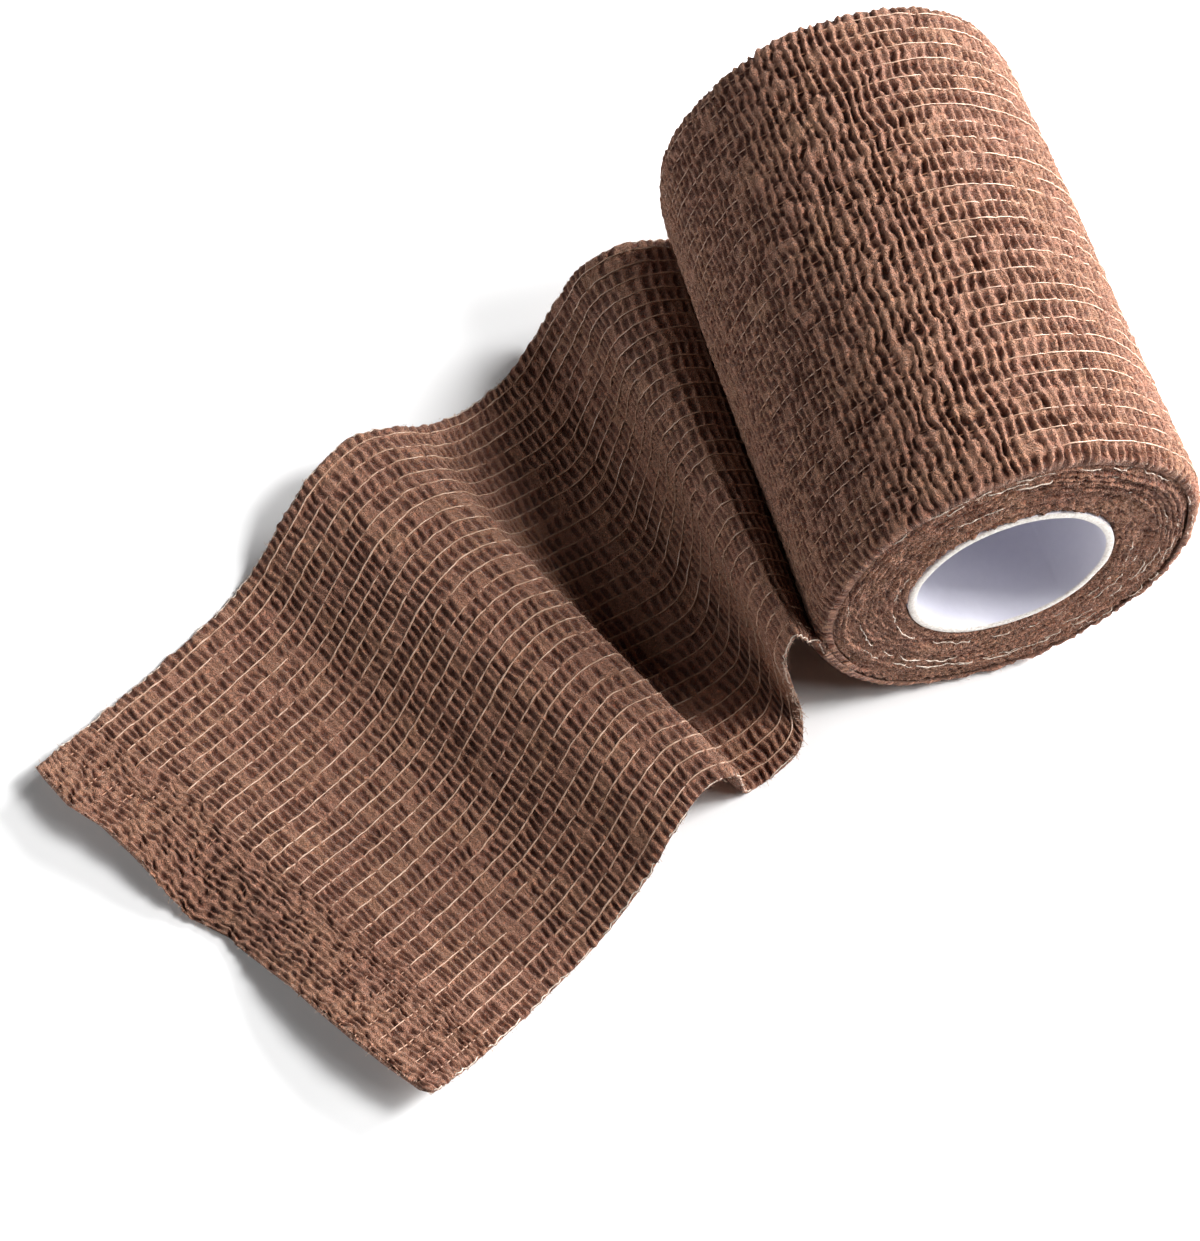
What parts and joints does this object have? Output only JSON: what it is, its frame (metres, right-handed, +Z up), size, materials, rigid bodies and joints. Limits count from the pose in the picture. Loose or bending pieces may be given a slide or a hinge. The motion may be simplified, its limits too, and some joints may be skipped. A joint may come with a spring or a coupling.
{
  "type": "cohesive bandage roll",
  "caption": "Crinkled brown cohesive elastic bandage wound on a white open core, with its end unrolled beside it over a crest, a valley and a lower crest to a curled cut end.",
  "frame": {"origin": "on the surface that the roll rests on, at the middle of the flat spot under the roll", "axes": "+Y along the roll's axis, away from the end whose core faces the camera; -X the way the unrolled end runs; +Z up"},
  "size_m": [0.1557, 0.1148, 0.0549],
  "materials": {
    "bandage_cloth": "dry crinkled nonwoven with pale elastic threads, matte with slight glints",
    "core_white": "smooth satin white"
  },
  "bodies": {
    "root": {"core": "core_white", "wound_roll": "bandage_cloth", "loose_end": "bandage_cloth"}
  },
  "joints": []
}
